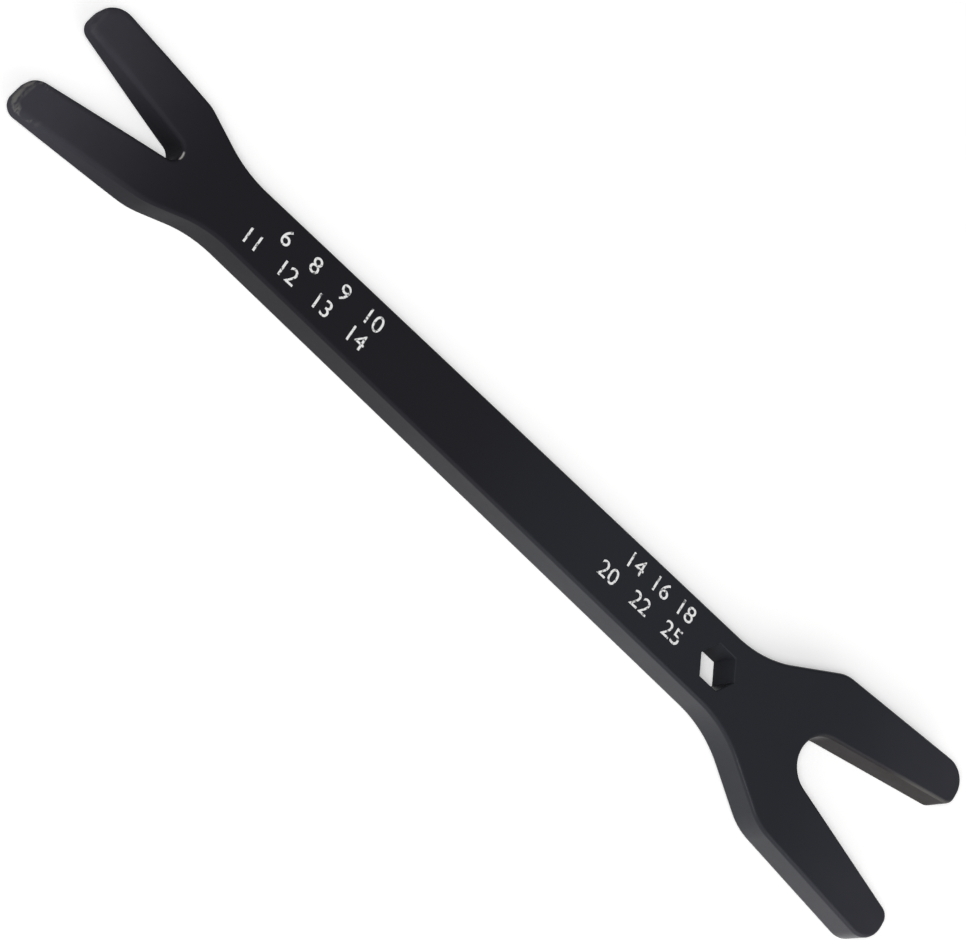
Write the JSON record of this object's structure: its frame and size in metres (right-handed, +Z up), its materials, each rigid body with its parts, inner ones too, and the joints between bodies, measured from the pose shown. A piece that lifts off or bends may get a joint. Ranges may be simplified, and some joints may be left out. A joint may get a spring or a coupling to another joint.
{
  "type": "self-tightening spanner",
  "caption": "Flat steel spanner with a V-shaped jaw at each end that wedges onto nuts of many sizes, and a hexagonal hole through the shank by the large jaw.",
  "frame": {"origin": "on the lower flat face, under the middle of the bounding box", "axes": "+X along the shank towards the large jaw, +Y across the flat towards the left prongs, +Z up through the thickness"},
  "size_m": [0.2498, 0.0456, 0.0079],
  "materials": {
    "black_steel": "satin black finish on forged steel",
    "size_marks": "matt white printed marks"
  },
  "bodies": {
    "root": {"spanner_body": "black_steel"}
  },
  "joints": []
}
